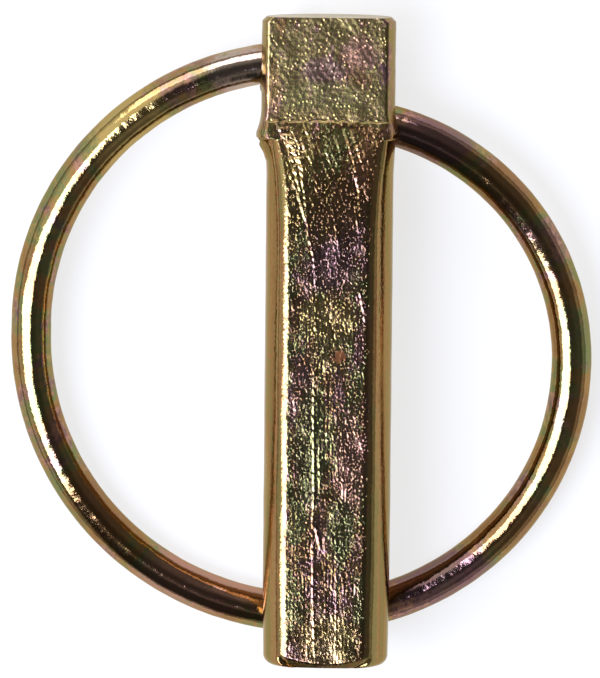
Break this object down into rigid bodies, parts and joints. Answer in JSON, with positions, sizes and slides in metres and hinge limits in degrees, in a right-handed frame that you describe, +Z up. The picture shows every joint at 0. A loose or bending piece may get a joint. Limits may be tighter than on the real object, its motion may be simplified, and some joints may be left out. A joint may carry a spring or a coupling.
{
  "type": "linch pin",
  "caption": "Linch pin: a round shank with a flat along the front, a head with a flat face and a flared rim, and a sprung wire ring that is hinged in the head and snaps shut against the shank.",
  "frame": {"origin": "on the floor, under the middle of the box round the whole part, which lies on its back as it comes to rest", "axes": "+Y from the tail towards the head, +Z up, with the flat of the shank facing up, and +X to the right as the part is seen from above with its head away from the viewer"},
  "size_m": [0.0504, 0.0564, 0.0132],
  "materials": {
    "plated_steel": "yellow passivated zinc plating on a forged and trimmed pin, glossy, with olive, gold, green and purple tints and scratches along the flat",
    "plated_wire": "yellow passivated zinc plating on smooth spring wire, glossy, with gold, olive, green and pink tints"
  },
  "bodies": {
    "pin": {"pin": "plated_steel"},
    "ring": {"spring_ring": "plated_wire"}
  },
  "joints": [
    {"name": "ring_swing", "type": "hinge", "parent": "pin", "child": "ring", "pos_m": [0.00231, 0.02113, 0.00467], "axis": [1, 0, 0], "range_deg": [0, 343], "stiffness_Nm_per_rad": 0.25, "deforming": ["spring_ring"]}
  ]
}
